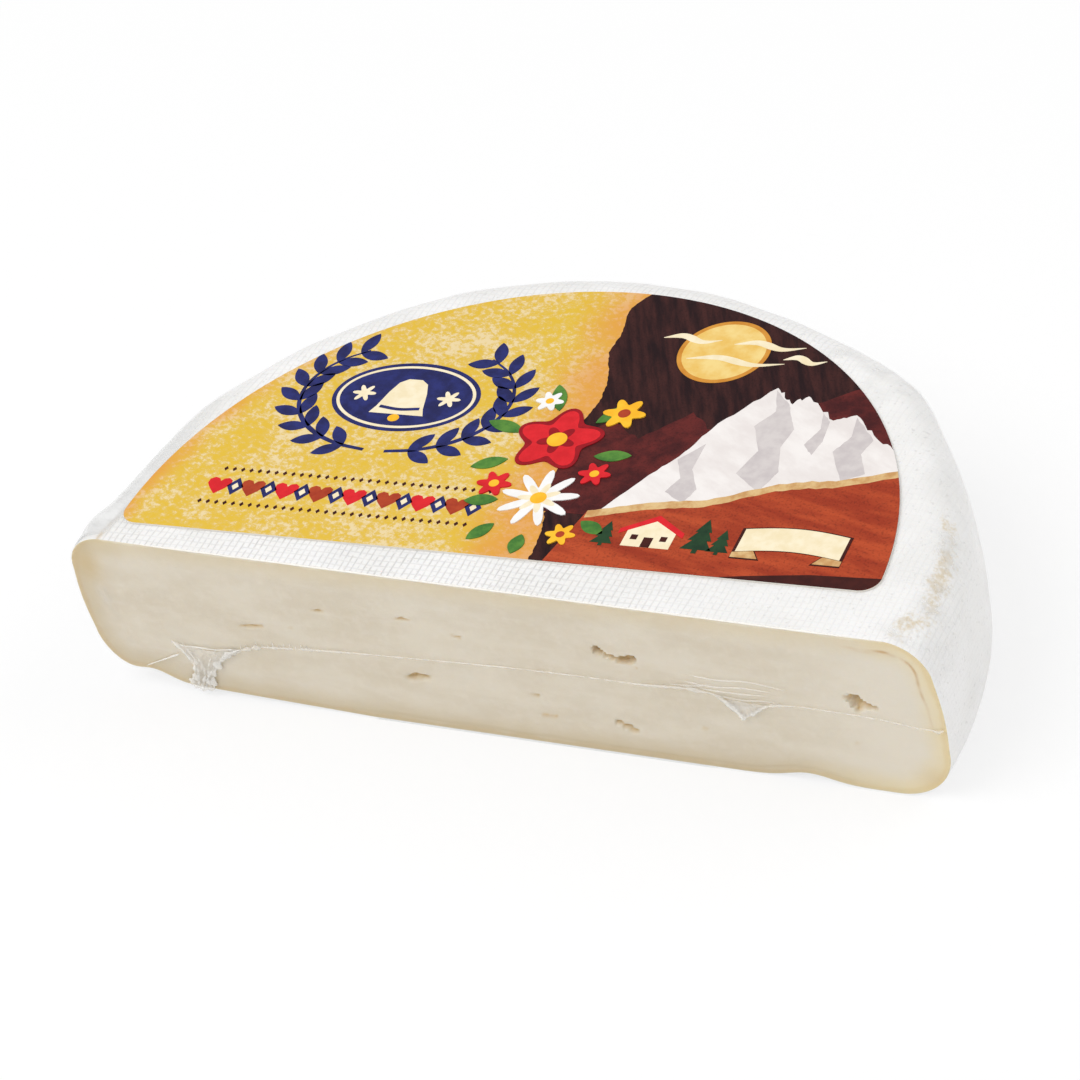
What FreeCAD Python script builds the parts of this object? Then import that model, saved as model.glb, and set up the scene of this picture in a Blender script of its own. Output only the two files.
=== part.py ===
"""Half wheel of reblochon, sealed in clear film, with a half-disc label stuck on its top.

Millimetres, +Z up. The cut face looks along -Y and the curved rind along +Y. The origin is on the
surface that the pack stands on, under the middle of its bounding box. Until the last step the
shapes are made round the middle of the cut, with the underside of the cheese at z = 0.
"""
import FreeCAD, Part
import math
import os

Vector = FreeCAD.Vector

# --- Driving dimensions -------------------------------------------------------------------------
# The wheel: a soft, hand-made round, so its outline leaves the true circle by named amounts.
wheel_radius = 66.3           # mean radius, measured from the middle of the cut
wheel_height = 28.0
cut_to_centre = 3.8           # the cut runs this far in front of the wheel's own centre
sideways_shift = -1.0         # the wheel's centre lies this far off the middle of the cut, along X
ovality = 1.25                # wider across the cut, narrower front to back
outline_bumps = (             # (height, bearing in degrees, spread in degrees)
    (1.6, 52.0, 8.4),         # shoulder on the right
    (3.8, 115.7, 38.2),       # broad belly at the back left
    (-2.1, 168.5, 10.7),      # pulled in at the left end
)
outline_step = 7.5            # degrees between the points that the outline passes through

top_rim_radius = 6.5
bottom_rim_radius = 9.0

# Places on the cut face are pairs of shares: across, from the middle (0) to the right end (1) or
# the left end (-1), and up, from the underside (0) to the top (1).

# The underside: it curls up towards the left end and has one dent in its front edge.
lift_start = -0.35            # where the underside starts to rise, as a share across
lift_angle = 2.2              # degrees
dent_place = 0.66             # the dent's middle, as a share across
dent_half_width = 7.5
dent_height = 1.3

# Eyes in the cut face, each a round-ended slit or one of a pair that cross:
# (across, up, length, width, slant in degrees)
eyes = (
    (0.243, 0.639, 4.4, 1.9, -28.0),    # the long bent eye, left limb
    (0.293, 0.629, 4.6, 1.8, 12.0),     # and its right limb
    (0.814, 0.557, 5.4, 1.8, -18.0),    # star-shaped eye, long arms
    (0.807, 0.554, 3.6, 1.7, 62.0),     # and its short arms
    (-0.217, 0.307, 4.2, 1.2, 8.0),
    (-0.414, 0.671, 2.2, 0.9, 10.0),
    (-0.589, 0.493, 2.0, 0.8, 0.0),
    (-0.208, 0.707, 2.0, 0.8, -20.0),
    (0.047, 0.296, 2.6, 0.9, -15.0),
    (0.257, 0.161, 3.2, 1.0, -20.0),
    (0.475, 0.246, 2.4, 0.9, -10.0),
    (0.774, 0.282, 2.2, 0.9, 12.0),
)

# The film: drawn tight all round, welded along a seam across the cut face.
film_thickness = 0.2          # the real film is about 0.03 thick
seam_width = 0.9
seam_proud = 0.5
seam_line = (                 # (across, up) from the gather at the left to the right end
    (-0.728, 0.200), (-0.680, 0.279), (-0.631, 0.350), (-0.565, 0.393), (-0.386, 0.425),
    (-0.122, 0.468), (0.137, 0.507), (0.322, 0.511), (0.443, 0.468), (0.511, 0.418),
    (0.545, 0.371), (0.589, 0.436), (0.657, 0.500), (0.790, 0.518), (0.897, 0.504),
)
seam_end_gap = 1.2            # the seam stops this far short of the right end of the cut
seam_end_up = 0.479
gather_foot = (-0.758, 0.054)  # where the spare film at the left end gathers and tucks under
gather_arms = (               # (across, up, width at the tip) of each fold that runs to the foot
    (-0.888, 0.164, 1.0),
    (-0.802, 0.307, 1.3),
    (-0.722, 0.207, 1.5),
)
gather_foot_width = 2.4
gather_proud = 0.9

# The label: a half disc on the flat of the top, its straight edge nearly along the cut.
label_thickness = 0.15
label_rim_gap = 1.7           # bare top between the label's arc and the start of the rim
label_cut_gap = 6.3           # from the cut to the middle of the straight edge
label_middle = -2.3           # X of the middle of the straight edge
label_turn = 2.4              # degrees, away from parallel with the cut
label_corner_radius = 2.7


# --- The wheel's outline ------------------------------------------------------------------------
def outline_radius(bearing):
    """Distance from the middle of the cut to the rind, at a bearing in degrees from +X."""
    turn = math.radians(bearing)
    radius = wheel_radius + sideways_shift * math.cos(turn) + cut_to_centre * math.sin(turn)
    radius += ovality * math.cos(2 * turn)
    for height, middle, spread in outline_bumps:
        radius += height * math.exp(-(((bearing - middle) / spread) ** 2))
    return radius


def outline_point(bearing, grow):
    """A point of the rind's outline on the ground, moved outwards by grow."""
    radius = outline_radius(bearing) + grow
    turn = math.radians(bearing)
    return Vector(radius * math.cos(turn), radius * math.sin(turn), 0)


def cut_point(across, up):
    """X and Z of a place on the cut face that is given in shares."""
    end = outline_radius(0 if across > 0 else 180)
    return across * end, up * wheel_height


def plan_face(grow):
    """The half round seen from above: the curved rind, closed in front by the cut."""
    steps = round(180 / outline_step)
    points = [outline_point(step * outline_step, grow) for step in range(steps + 1)]
    right = points[0] + Vector(0, -grow, 0)
    left = points[-1] + Vector(0, -grow, 0)
    rind = Part.BSplineCurve()
    rind.interpolate([right] + points[1:-1] + [left])
    cut = Part.LineSegment(left, right)
    return Part.Face(Part.Wire([rind.toShape(), cut.toShape()]))


# --- Solids shared by the cheese and its film ---------------------------------------------------
def round_ended_pin(length, width):
    """A pin along X with ball ends, centred on the origin."""
    radius = width / 2
    half_run = length / 2 - radius
    slope = radius * math.sqrt(0.5)
    side = [Vector(-half_run, 0, radius), Vector(half_run, 0, radius)]
    tips = [Vector(-half_run - radius, 0, 0), Vector(half_run + radius, 0, 0)]
    left = Part.Arc(tips[0], Vector(-half_run - slope, 0, slope), side[0])
    right = Part.Arc(side[1], Vector(half_run + slope, 0, slope), tips[1])
    outline = [left, Part.LineSegment(*side), right, Part.LineSegment(tips[1], tips[0])]
    face = Part.Face(Part.Wire([piece.toShape() for piece in outline]))
    return face.revolve(Vector(), Vector(1, 0, 0), 360)


def curved_edges_at(solid, height):
    """The edges of the rind's outline that lie flat at one height."""
    found = []
    for edge in solid.Edges:
        box = edge.BoundBox
        level = abs(box.ZMin - height) < 0.01 and abs(box.ZMax - height) < 0.01
        if level and isinstance(edge.Curve, Part.BSplineCurve):
            found.append(edge)
    return found


def underside_lift(grow):
    """A wedge under the left end, whose top slopes up away from the middle."""
    size = 2 * wheel_radius
    wedge = Part.makeBox(size, 2 * size, size)
    wedge.translate(Vector(-size, -size / 2, -size))
    wedge.rotate(Vector(), Vector(0, 1, 0), lift_angle)
    wedge.translate(Vector(cut_point(lift_start, 0)[0], 0, -grow))
    return wedge


def dent_ball(grow):
    """A ball that presses the dent into the underside's front edge."""
    radius = (dent_half_width**2 + dent_height**2) / (2 * dent_height)
    ball = Part.makeSphere(radius - grow)
    ball.translate(Vector(cut_point(dent_place, 0)[0], 0, dent_height - radius))
    return ball


def wheel_solid(grow):
    """The half wheel with soft rims, every face moved outwards by grow."""
    tall = plan_face(grow).extrude(Vector(0, 0, wheel_height + 2 * grow))
    tall.translate(Vector(0, 0, -grow))
    tall = tall.makeFillet(top_rim_radius + grow, curved_edges_at(tall, wheel_height + grow))
    tall = tall.makeFillet(bottom_rim_radius + grow, curved_edges_at(tall, -grow))
    return tall.cut([underside_lift(grow), dent_ball(grow)])


# --- The three pieces ---------------------------------------------------------------------------
def make_cheese():
    """The paste with its rind, and the eyes that open in the cut face."""
    holes = []
    for across, up, length, width, slant in eyes:
        hole = round_ended_pin(length, width)
        hole.rotate(Vector(), Vector(0, 1, 0), -slant)
        x, z = cut_point(across, up)
        hole.translate(Vector(x, 0, z))
        holes.append(hole)
    return wheel_solid(0).cut(holes)


def front_plate(corners, proud):
    """A flat plate on the film's front, from inside the film to a height proud of it."""
    points = [Vector(x, -film_thickness / 2, z) for x, z in corners]
    face = Part.Face(Part.makePolygon(points + points[:1]))
    return face.extrude(Vector(0, -film_thickness / 2 - proud, 0))


def ribbon(line, width):
    """Corners of a band of even width along a line of points."""
    upper = []
    lower = []
    for index, (x, z) in enumerate(line):
        before = line[max(index - 1, 0)]
        after = line[min(index + 1, len(line) - 1)]
        run = math.hypot(after[0] - before[0], after[1] - before[1])
        across = ((before[1] - after[1]) / run, (after[0] - before[0]) / run)
        upper.append((x + across[0] * width / 2, z + across[1] * width / 2))
        lower.append((x - across[0] * width / 2, z - across[1] * width / 2))
    return upper + lower[::-1]


def gather_fold(across, up, width):
    """One flat fold of spare film, from its tip to the foot of the gather."""
    tip = Vector(*cut_point(across, up), 0)
    foot = Vector(*cut_point(*gather_foot), 0)
    side = Vector(tip.y - foot.y, foot.x - tip.x, 0).normalize()
    tip_side = side * (width / 2)
    foot_side = side * (gather_foot_width / 2)
    corners = [tip + tip_side, tip - tip_side, foot - foot_side, foot + foot_side]
    return front_plate([(corner.x, corner.y) for corner in corners], gather_proud)


def make_film():
    """The closed skin of film, with its weld seam and the gather at the left end."""
    line = [cut_point(across, up) for across, up in seam_line]
    line.append((outline_radius(0) - seam_end_gap, seam_end_up * wheel_height))
    seam = front_plate(ribbon(line, seam_width), seam_proud)
    folds = [gather_fold(*arm) for arm in gather_arms]
    skin = wheel_solid(film_thickness).cut(wheel_solid(0))
    return skin.fuse([seam] + folds)


def make_label():
    """The half-disc label, lying on the film."""
    radius = wheel_radius - top_rim_radius - label_rim_gap
    arc = Part.Arc(Vector(radius, 0, 0), Vector(0, radius, 0), Vector(-radius, 0, 0))
    edge = Part.LineSegment(Vector(-radius, 0, 0), Vector(radius, 0, 0))
    face = Part.Face(Part.Wire([arc.toShape(), edge.toShape()]))
    sheet = face.extrude(Vector(0, 0, label_thickness))
    uprights = [side for side in sheet.Edges if side.BoundBox.ZLength > label_thickness / 2]
    sheet = sheet.makeFillet(label_corner_radius, uprights)
    sheet.rotate(Vector(), Vector(0, 0, 1), label_turn)
    sheet.translate(Vector(label_middle, label_cut_gap, wheel_height + film_thickness))
    return sheet


# --- Writing the pieces in the shared frame -----------------------------------------------------
def frame_shift():
    """The move that puts the middle of the pack's footprint over the origin, on the ground."""
    points = [outline_point(bearing / 4, film_thickness) for bearing in range(721)]
    middle_x = (max(p.x for p in points) + min(p.x for p in points)) / 2
    front = -film_thickness - gather_proud
    middle_y = (max(p.y for p in points) + front) / 2
    return Vector(-middle_x, -middle_y, film_thickness)


def main():
    os.makedirs("parts", exist_ok=True)
    shift = frame_shift()
    makers = {"half_wheel": make_cheese, "film": make_film, "label": make_label}
    for node, make in makers.items():
        solid = make().Solids[0]
        solid.translate(shift)
        solid.exportStep("parts/" + node + ".step")
        box = solid.BoundBox
        print(node, "valid" if solid.isValid() else "NOT VALID", "volume", round(solid.Volume, 1),
              "x", round(box.XMin, 2), round(box.XMax, 2), "y", round(box.YMin, 2),
              round(box.YMax, 2), "z", round(box.ZMin, 2), round(box.ZMax, 2))


main()
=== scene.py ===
"""Looks of a half wheel of reblochon: the cheese, its clear film and its printed label.

Shapes are worked out in millimetres in the wheel's own frame: x along the cut, y away from it and
z up, from the middle of the cut on the cheese's underside. mesh_piece() moves them to the shared
frame, in metres.
"""
from math import atan2, cos, degrees, dist, pi, radians, sin, sqrt, tan

import bmesh
import bpy
import numpy as np
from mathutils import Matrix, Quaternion, Vector, noise


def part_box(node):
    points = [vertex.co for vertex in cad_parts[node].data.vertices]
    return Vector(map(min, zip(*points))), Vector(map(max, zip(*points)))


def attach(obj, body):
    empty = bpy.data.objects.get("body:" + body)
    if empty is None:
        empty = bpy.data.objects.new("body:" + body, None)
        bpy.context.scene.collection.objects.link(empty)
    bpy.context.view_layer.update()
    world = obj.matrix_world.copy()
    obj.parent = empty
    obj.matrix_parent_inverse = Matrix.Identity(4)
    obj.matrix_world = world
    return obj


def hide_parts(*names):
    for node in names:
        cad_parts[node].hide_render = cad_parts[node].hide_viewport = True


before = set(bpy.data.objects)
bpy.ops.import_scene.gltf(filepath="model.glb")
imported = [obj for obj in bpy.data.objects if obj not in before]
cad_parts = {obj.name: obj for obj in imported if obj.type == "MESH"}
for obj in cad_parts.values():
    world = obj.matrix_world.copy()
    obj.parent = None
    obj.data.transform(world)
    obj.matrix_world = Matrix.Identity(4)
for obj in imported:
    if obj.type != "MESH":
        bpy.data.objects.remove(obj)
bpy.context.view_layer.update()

MM = 0.001

# --- Sizes of the wheel, as in the solids, in millimetres and degrees ---
WHEEL_RADIUS = 66.3
CUT_TO_CENTRE = 3.8
SIDEWAYS_SHIFT = -1
OVALITY = 1.25
OUTLINE_BUMPS = ((1.6, 52, 8.4), (3.8, 115.7, 38.2), (-2.1, 168.5, 10.7))
TOP_RIM = 6.5
BOTTOM_RIM = 9
SIDE_BULGE = 0.4
LIFT_START = -24
LIFT_ANGLE = 2.2
# Places where the underside is drawn up: (x, spread along x, spread along y, height). The first is
# the dent of the solids; the second, beside the gathered film, is in the scene alone.
UNDERSIDE_RISES = ((44, 4.5, 8, 1.3), (-60, 3.4, 14, 1.9))


def hump(value, middle, spread):
    """1 at the middle, less on both sides."""
    return np.exp(-(((value - middle) / spread) ** 2))


def ease(value, low, high):
    """0 up to low, 1 from high on, and a soft change between."""
    share = np.clip((value - low) / (high - low), 0, 1)
    return share * share * (3 - 2 * share)


def outline_radius(bearing):
    """Distance from the middle of the cut to the rind, at bearings in degrees from +x."""
    turn = np.radians(bearing)
    radius = WHEEL_RADIUS + SIDEWAYS_SHIFT * np.cos(turn) + CUT_TO_CENTRE * np.sin(turn)
    radius = radius + OVALITY * np.cos(2 * turn)
    for height, middle, spread in OUTLINE_BUMPS:
        radius = radius + height * hump(bearing, middle, spread)
    return radius


cheese_low, cheese_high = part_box("half_wheel")
film_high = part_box("film")[1]
label_low, label_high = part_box("label")
ALL_BEARINGS = np.linspace(0, 180, 721)
RIGHT_REACH = float(np.max(outline_radius(ALL_BEARINGS) * np.cos(np.radians(ALL_BEARINGS))))
ORIGIN = Vector((cheese_high[0] - RIGHT_REACH * MM, cheese_low[1], cheese_low[2]))
WHEEL_HEIGHT = (cheese_high[2] - cheese_low[2]) / MM
FILM = (film_high[2] - cheese_high[2]) / MM
LABEL_THICKNESS = (label_high[2] - label_low[2]) / MM

# --- Camera: aims in the wheel's own frame, distances in metres, angles in degrees ---
CAMERA_LENS = 166.5
CAMERA_AIM = (-5.93, 25.55, 14)
CAMERA_PLACE = {"azimuth": 35.24, "elevation": 38.25, "distance": 0.7092, "roll": -16.51}
LAMP_AIM = (0, 30, 14)


def place_towards(thing, aim, azimuth, elevation, distance, roll=0):
    """Sets a camera or lamp at a distance from a point, and turns it to that point."""
    a, e = radians(azimuth), radians(elevation)
    back = Vector((sin(a) * cos(e), -cos(a) * cos(e), sin(e)))
    thing.location = ORIGIN + Vector(aim) * MM + back * distance
    thing.rotation_mode = "QUATERNION"
    level = (-back).to_track_quat("-Z", "Y")
    thing.rotation_quaternion = level @ Quaternion((0, 0, 1), radians(roll))
    bpy.context.collection.objects.link(thing)


def make_camera():
    data = bpy.data.cameras.new("camera")
    data.lens = CAMERA_LENS
    data.clip_start = 0.05
    data.clip_end = 50
    camera = bpy.data.objects.new("camera", data)
    place_towards(camera, CAMERA_AIM, **CAMERA_PLACE)
    bpy.context.scene.camera = camera


def area_light(name, azimuth, elevation, distance, size, power):
    data = bpy.data.lights.new(name, "AREA")
    data.shape = "DISK"
    data.size = size
    data.energy = power
    place_towards(bpy.data.objects.new(name, data), LAMP_AIM, azimuth, elevation, distance)


# --- Node helpers ---
# The film lies on everything under it, so what it covers has its gloss.
FILM_GLOSS = {"Coat Weight": 0.35, "Coat Roughness": 0.16, "Coat IOR": 1.45}
PAPER = {"Roughness": 0.45, "Specular IOR Level": 0.1}


class Number:
    """A number that a material's nodes work out, for use in plain sums."""

    def __init__(self, socket):
        self.socket = socket
        self.tree = socket.id_data

    def __add__(self, other):
        return calc("ADD", self, other)

    def __sub__(self, other):
        return calc("SUBTRACT", self, other)

    def __rsub__(self, other):
        return calc("SUBTRACT", other, self)

    def __mul__(self, other):
        return calc("MULTIPLY", self, other)

    def ramp(self, low, high):
        """0 where it is low and 1 where it is high."""
        inputs = {"Value": self, "From Min": low, "From Max": high}
        settings = {"interpolation_type": "SMOOTHSTEP"}
        return Number(add(self.tree, "MapRange", settings, inputs).outputs["Result"])

    def mix(self, first, second):
        """A colour: the first at 0, the second at 1."""
        inputs = {0: self, 6: first, 7: second}
        return add(self.tree, "Mix", {"data_type": "RGBA"}, inputs).outputs[2]


def add(tree, kind, settings=None, inputs=None):
    """A node of this kind, with its settings and its inputs set or linked."""
    made = tree.nodes.new("ShaderNode" + kind)
    for name, value in (settings or {}).items():
        setattr(made, name, value)
    for name, value in (inputs or {}).items():
        value = value.socket if isinstance(value, Number) else value
        if isinstance(value, bpy.types.NodeSocket):
            tree.links.new(value, made.inputs[name])
        else:
            made.inputs[name].default_value = value
    return made


def calc(operation, *values):
    """A sum on numbers, at least one of them a Number."""
    tree = next(value.tree for value in values if isinstance(value, Number))
    made = add(tree, "Math", {"operation": operation}, dict(enumerate(values)))
    return Number(made.outputs[0])


def in_mm(tree, source):
    """Coordinates in millimetres: the piece's own, or a named map of the mesh."""
    if source != "object":
        return add(tree, "UVMap", {"uv_map": source}).outputs[0]
    inputs = {0: add(tree, "TexCoord").outputs["Object"], "Scale": 1 / MM}
    return add(tree, "VectorMath", {"operation": "SCALE"}, inputs).outputs[0]


def first_two(place):
    """The first two coordinates of a place, as Numbers."""
    parts = add(place.id_data, "SeparateXYZ", None, {0: place}).outputs
    return Number(parts[0]), Number(parts[1])


def stretch(place, scale, turn=0):
    """Coordinates turned about z, in degrees, and then scaled."""
    turned = add(place.id_data, "VectorRotate", {"rotation_type": "Z_AXIS"},
                 {"Vector": place, "Angle": radians(turn)}).outputs[0]
    return add(place.id_data, "VectorMath", {"operation": "MULTIPLY"},
               {0: turned, 1: scale}).outputs[0]


def mottle(place, size, detail=2, roughness=0.5):
    """Noise from 0 to 1 whose lumps are about this many millimetres."""
    inputs = {"Vector": place, "Scale": 1 / size, "Detail": detail, "Roughness": roughness}
    return Number(add(place.id_data, "TexNoise", None, inputs).outputs[0])


def attribute(tree, name):
    """A number that each point of the mesh carries."""
    return Number(add(tree, "Attribute", {"attribute_name": name}).outputs["Fac"])


def bump(height, distance):
    """Normals from a height of 0 to 1 that stands for this many millimetres."""
    inputs = {"Height": height, "Distance": distance * MM, "Strength": 1}
    return add(height.tree, "Bump", None, inputs).outputs[0]


def new_material(name):
    material = bpy.data.materials.new(name)
    material.use_nodes = True
    material.node_tree.nodes.clear()
    return material, material.node_tree


def finish(material, settings):
    """Ends a material with a surface of these settings."""
    shader = add(material.node_tree, "BsdfPrincipled", None, settings)
    add(material.node_tree, "OutputMaterial", None, {"Surface": shader.outputs[0]})
    return material


def finish_food(material, colour, roughness, normal, weight, radius, scale):
    """Ends the material of a soft food under the gloss of the film."""
    return finish(material, {
        "Base Color": colour,
        "Roughness": roughness,
        "Normal": normal,
        "Subsurface Weight": weight,
        "Subsurface Radius": radius,
        "Subsurface Scale": scale * MM,
        **FILM_GLOSS,
    })


def rgb(red, green, blue):
    """A colour written as it looks on a screen, 0 to 255, as the linear colour of a socket."""
    linear = []
    for part in (red, green, blue):
        share = part / 255
        linear.append(share / 12.92 if share <= 0.04045 else ((share + 0.055) / 1.055) ** 2.4)
    return (*linear, 1)


# --- Floor and light ---
WORLD_STRENGTH = 0.6
FLOOR_REACH = 6
FLOOR_GREY = 0.92
FLOOR_GLOW = 0.72


def make_stage():
    """Soft light, and a white floor that keeps the object's shadow."""
    world = bpy.data.worlds.new("world")
    world.use_nodes = True
    background = world.node_tree.nodes["Background"].inputs
    background["Color"].default_value = (1, 1, 1, 1)
    background["Strength"].default_value = WORLD_STRENGTH
    bpy.context.scene.world = world

    material, tree = new_material("floor")
    grey = (FLOOR_GREY, FLOOR_GREY, FLOOR_GREY, 1)
    lit = add(tree, "BsdfDiffuse", None, {"Color": grey})
    white = add(tree, "Emission")
    rays = add(tree, "LightPath").outputs
    seen = calc("MAXIMUM", Number(rays["Is Camera Ray"]), Number(rays["Is Glossy Ray"]))
    seen = calc("MAXIMUM", seen, Number(rays["Is Transmission Ray"]))
    both = add(tree, "MixShader", None,
               {0: seen * FLOOR_GLOW, 1: lit.outputs[0], 2: white.outputs[0]})
    add(tree, "OutputMaterial", None, {"Surface": both.outputs[0]})

    mesh = bpy.data.meshes.new("floor")
    reach = FLOOR_REACH
    corners = [(-reach, -reach, 0), (reach, -reach, 0), (reach, reach, 0), (-reach, reach, 0)]
    mesh.from_pydata(corners, [], [(0, 1, 2, 3)])
    mesh.materials.append(material)
    floor = bpy.data.objects.new("floor", mesh)
    bpy.context.collection.objects.link(floor)

    area_light("key", azimuth=-40, elevation=60, distance=1.1, size=0.9, power=6.3)
    area_light("fill", azimuth=120, elevation=40, distance=1.3, size=0.9, power=3.4)


# --- Meshes ---
WELD_DISTANCE = 0.002
SHARP_ANGLE = 50


def mesh_piece(name, points, faces, materials, replaced=None, smooth=True, maps=None,
               values=None, picks=None, welded=False):
    """A piece of the object from points in millimetres, riding on the only body.

    maps and values are named 2D places and numbers for each point, picks is each face's material,
    and welded joins the edges of its patches."""
    mesh = bpy.data.meshes.new(name)
    points = np.asarray(points, float)
    mesh.from_pydata((points * MM + np.array(ORIGIN)).tolist(), [], faces)
    for material in materials:
        mesh.materials.append(material)
    if picks is not None:
        mesh.polygons.foreach_set("material_index", picks)
    for label, numbers in (values or {}).items():
        layer = mesh.attributes.new(label, "FLOAT", "POINT")
        layer.data.foreach_set("value", np.asarray(numbers, np.float32))
    corners = np.zeros(len(mesh.loops), int)
    mesh.loops.foreach_get("vertex_index", corners)
    for label, places in (maps or {}).items():
        layer = mesh.uv_layers.new(name=label)
        layer.data.foreach_set("uv", np.asarray(places, float)[corners].ravel())
    mesh.polygons.foreach_set("use_smooth", [smooth] * len(mesh.polygons))
    mesh.update()
    made = bpy.data.objects.new(name, mesh)
    bpy.context.collection.objects.link(made)
    if welded:
        weld(mesh)
    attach(made, "root")
    if replaced:
        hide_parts(replaced)


def weld(mesh):
    """Joins the points that lie together where two patches meet, and keeps sharp edges sharp."""
    work = bmesh.new()
    work.from_mesh(mesh)
    bmesh.ops.remove_doubles(work, verts=work.verts, dist=WELD_DISTANCE * MM)
    bmesh.ops.recalc_face_normals(work, faces=work.faces)
    work.to_mesh(mesh)
    work.free()
    mesh.set_sharp_from_angle(angle=radians(SHARP_ANGLE))


def grid_faces(rows, columns, flip=False):
    """Four-sided faces of a grid of points."""
    row, column = np.meshgrid(np.arange(rows - 1), np.arange(columns - 1), indexing="ij")
    a = row * columns + column
    quads = np.stack([a, a + 1, a + columns + 1, a + columns], -1).reshape(-1, 4)
    return (quads[:, ::-1] if flip else quads).tolist()


def join_parts(parts):
    """One list of points and faces from several."""
    points, faces = [], []
    for more, their_faces in parts:
        faces += [tuple(len(points) + i for i in face) for face in their_faces]
        points += [tuple(p) for p in more]
    return points, faces


def tube_faces(rings, sides):
    """Faces of a closed tube of rings of points: the last ring, the first, then the walls."""
    last = (rings - 1) * sides
    faces = [tuple(range(last, last + sides)), tuple(range(sides))[::-1]]
    for a in range(last):
        b = a + 1 if (a + 1) % sides else a + 1 - sides
        faces.append((a, b, b + sides, a + sides))
    return faces


def lumps(points, size, seed=0):
    """Smooth noise from about -1 to 1 with lumps of this many millimetres."""
    shift = Vector((seed, seed * 1.7, seed * 0.6))
    made = [noise.noise(Vector(p) / size + shift) for p in points.reshape(-1, 3)]
    return np.array(made).reshape(points.shape[:-1])


def spread(low, high, count, windows):
    """Places from low to high, closer together inside the windows."""
    fine = np.linspace(low, high, 4000)
    density = np.ones_like(fine)
    for start, end in windows:
        density += 2 * ease(fine, start - 2, start) * ease(-fine, -end - 2, -end)
    total = np.concatenate([[0], np.cumsum((density[1:] + density[:-1]) / 2)])
    return np.interp(np.linspace(0, total[-1], count), total, fine)


def smooth_line(corners, count):
    """Points of a smooth curve through the corners, evenly spread along it."""
    corners = np.asarray(corners, float)
    run = np.concatenate([[0], np.cumsum(np.linalg.norm(np.diff(corners, axis=0), axis=1))])
    slopes = np.gradient(corners, run, axis=0)
    places = np.linspace(0, run[-1], count)
    index = np.clip(np.searchsorted(run, places, "right") - 1, 0, len(run) - 2)
    length = (run[index + 1] - run[index])[:, None]
    t = ((places - run[index])[:, None]) / length
    a, b = corners[index], corners[index + 1]
    return (a * (2 * t**3 - 3 * t**2 + 1) + b * (3 * t**2 - 2 * t**3)
            + length * slopes[index] * (t**3 - 2 * t**2 + t)
            + length * slopes[index + 1] * (t**3 - t**2))


def along_line(widths, count):
    """Widths given from start to end, as one for each of count points."""
    return np.interp(np.linspace(0, 1, count), np.linspace(0, 1, len(widths)), widths)


# --- The wheel's surface ---
BEARINGS = np.linspace(180, 0, 361)
CUT_PATCH = 1


def profile(grow, rim_rows, side_rows, foot_rows):
    """Rows down the rind: (distance outside the outline, height, length along the rind)."""
    rim = np.linspace(0, pi / 2, rim_rows + 1)
    foot = np.linspace(0, pi / 2, foot_rows + 1)
    side = np.linspace(0, 1, side_rows + 1)[1:-1]
    low, high = BOTTOM_RIM, WHEEL_HEIGHT - TOP_RIM
    out = np.concatenate([
        (TOP_RIM + grow) * np.sin(rim) - TOP_RIM - SIDE_BULGE,
        grow - SIDE_BULGE + SIDE_BULGE * np.sin(pi * side),
        (BOTTOM_RIM + grow) * np.cos(foot) - BOTTOM_RIM - SIDE_BULGE,
    ])
    height = np.concatenate([
        high + (TOP_RIM + grow) * np.cos(rim),
        high + (low - high) * side,
        low - (BOTTOM_RIM + grow) * np.sin(foot),
    ])
    run = np.concatenate([[0], np.cumsum(np.hypot(np.diff(out), np.diff(height)))])
    return out, height, run


def settle(patches):
    """Lifts the underside where it stands off the ground, less towards the top."""
    for points in patches:
        x, y, z = np.moveaxis(points, -1, 0)
        rise = np.maximum(0, LIFT_START - x) * tan(radians(LIFT_ANGLE))
        for middle, across, inwards, height in UNDERSIDE_RISES:
            rise += height * np.exp(-(((x - middle) / across) ** 2) - (y / inwards) ** 2)
        z += rise * np.clip(1 - z / WHEEL_HEIGHT, 0, 1)


def from_rim(points):
    """Bearing of each point in degrees, and how far it lies inside the outline."""
    angle = np.degrees(np.arctan2(points[..., 1], points[..., 0]))
    gap = outline_radius(np.clip(angle, 0, 180)) - np.hypot(points[..., 0], points[..., 1])
    return angle, gap


def crumple_zone(points):
    """1 where rind and film are rubbed and crumpled: along the right rim and beyond the label.
    There the film is also made whiter as a painted highlight.
    """
    angle, gap = from_rim(points)
    upper = ease(points[..., 2], WHEEL_HEIGHT - TOP_RIM - 2, WHEEL_HEIGHT - 3)
    by_the_cut = ease(-angle, -9, 0)
    rim = hump(gap, 3.2 + 2.6 * by_the_cut, 1.5 + 1.2 * by_the_cut) * ease(-angle, -34, -14)
    tip = ease(angle, 46, 52) * ease(-angle, -66, -60) * ease(-gap, -10, -6)
    return upper * np.maximum(rim, 0.6 * tip) * ease(points[..., 1], 0, 1.5)


def rind_relief(points, crumpled=1):
    """Unevenness of the soft rind, in millimetres outwards, none at the edge of the cut."""
    away = ease(points[..., 1], 0, 4)
    soft = 0.22 * lumps(points, 11, 3) + 0.07 * lumps(points, 4, 8)
    crumple = 0.16 * lumps(points * (1, 1, 0.5), 2.6, 5) + 0.05 * lumps(points, 1.3, 1)
    return away * soft + crumpled * crumple_zone(points) * crumple


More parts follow.
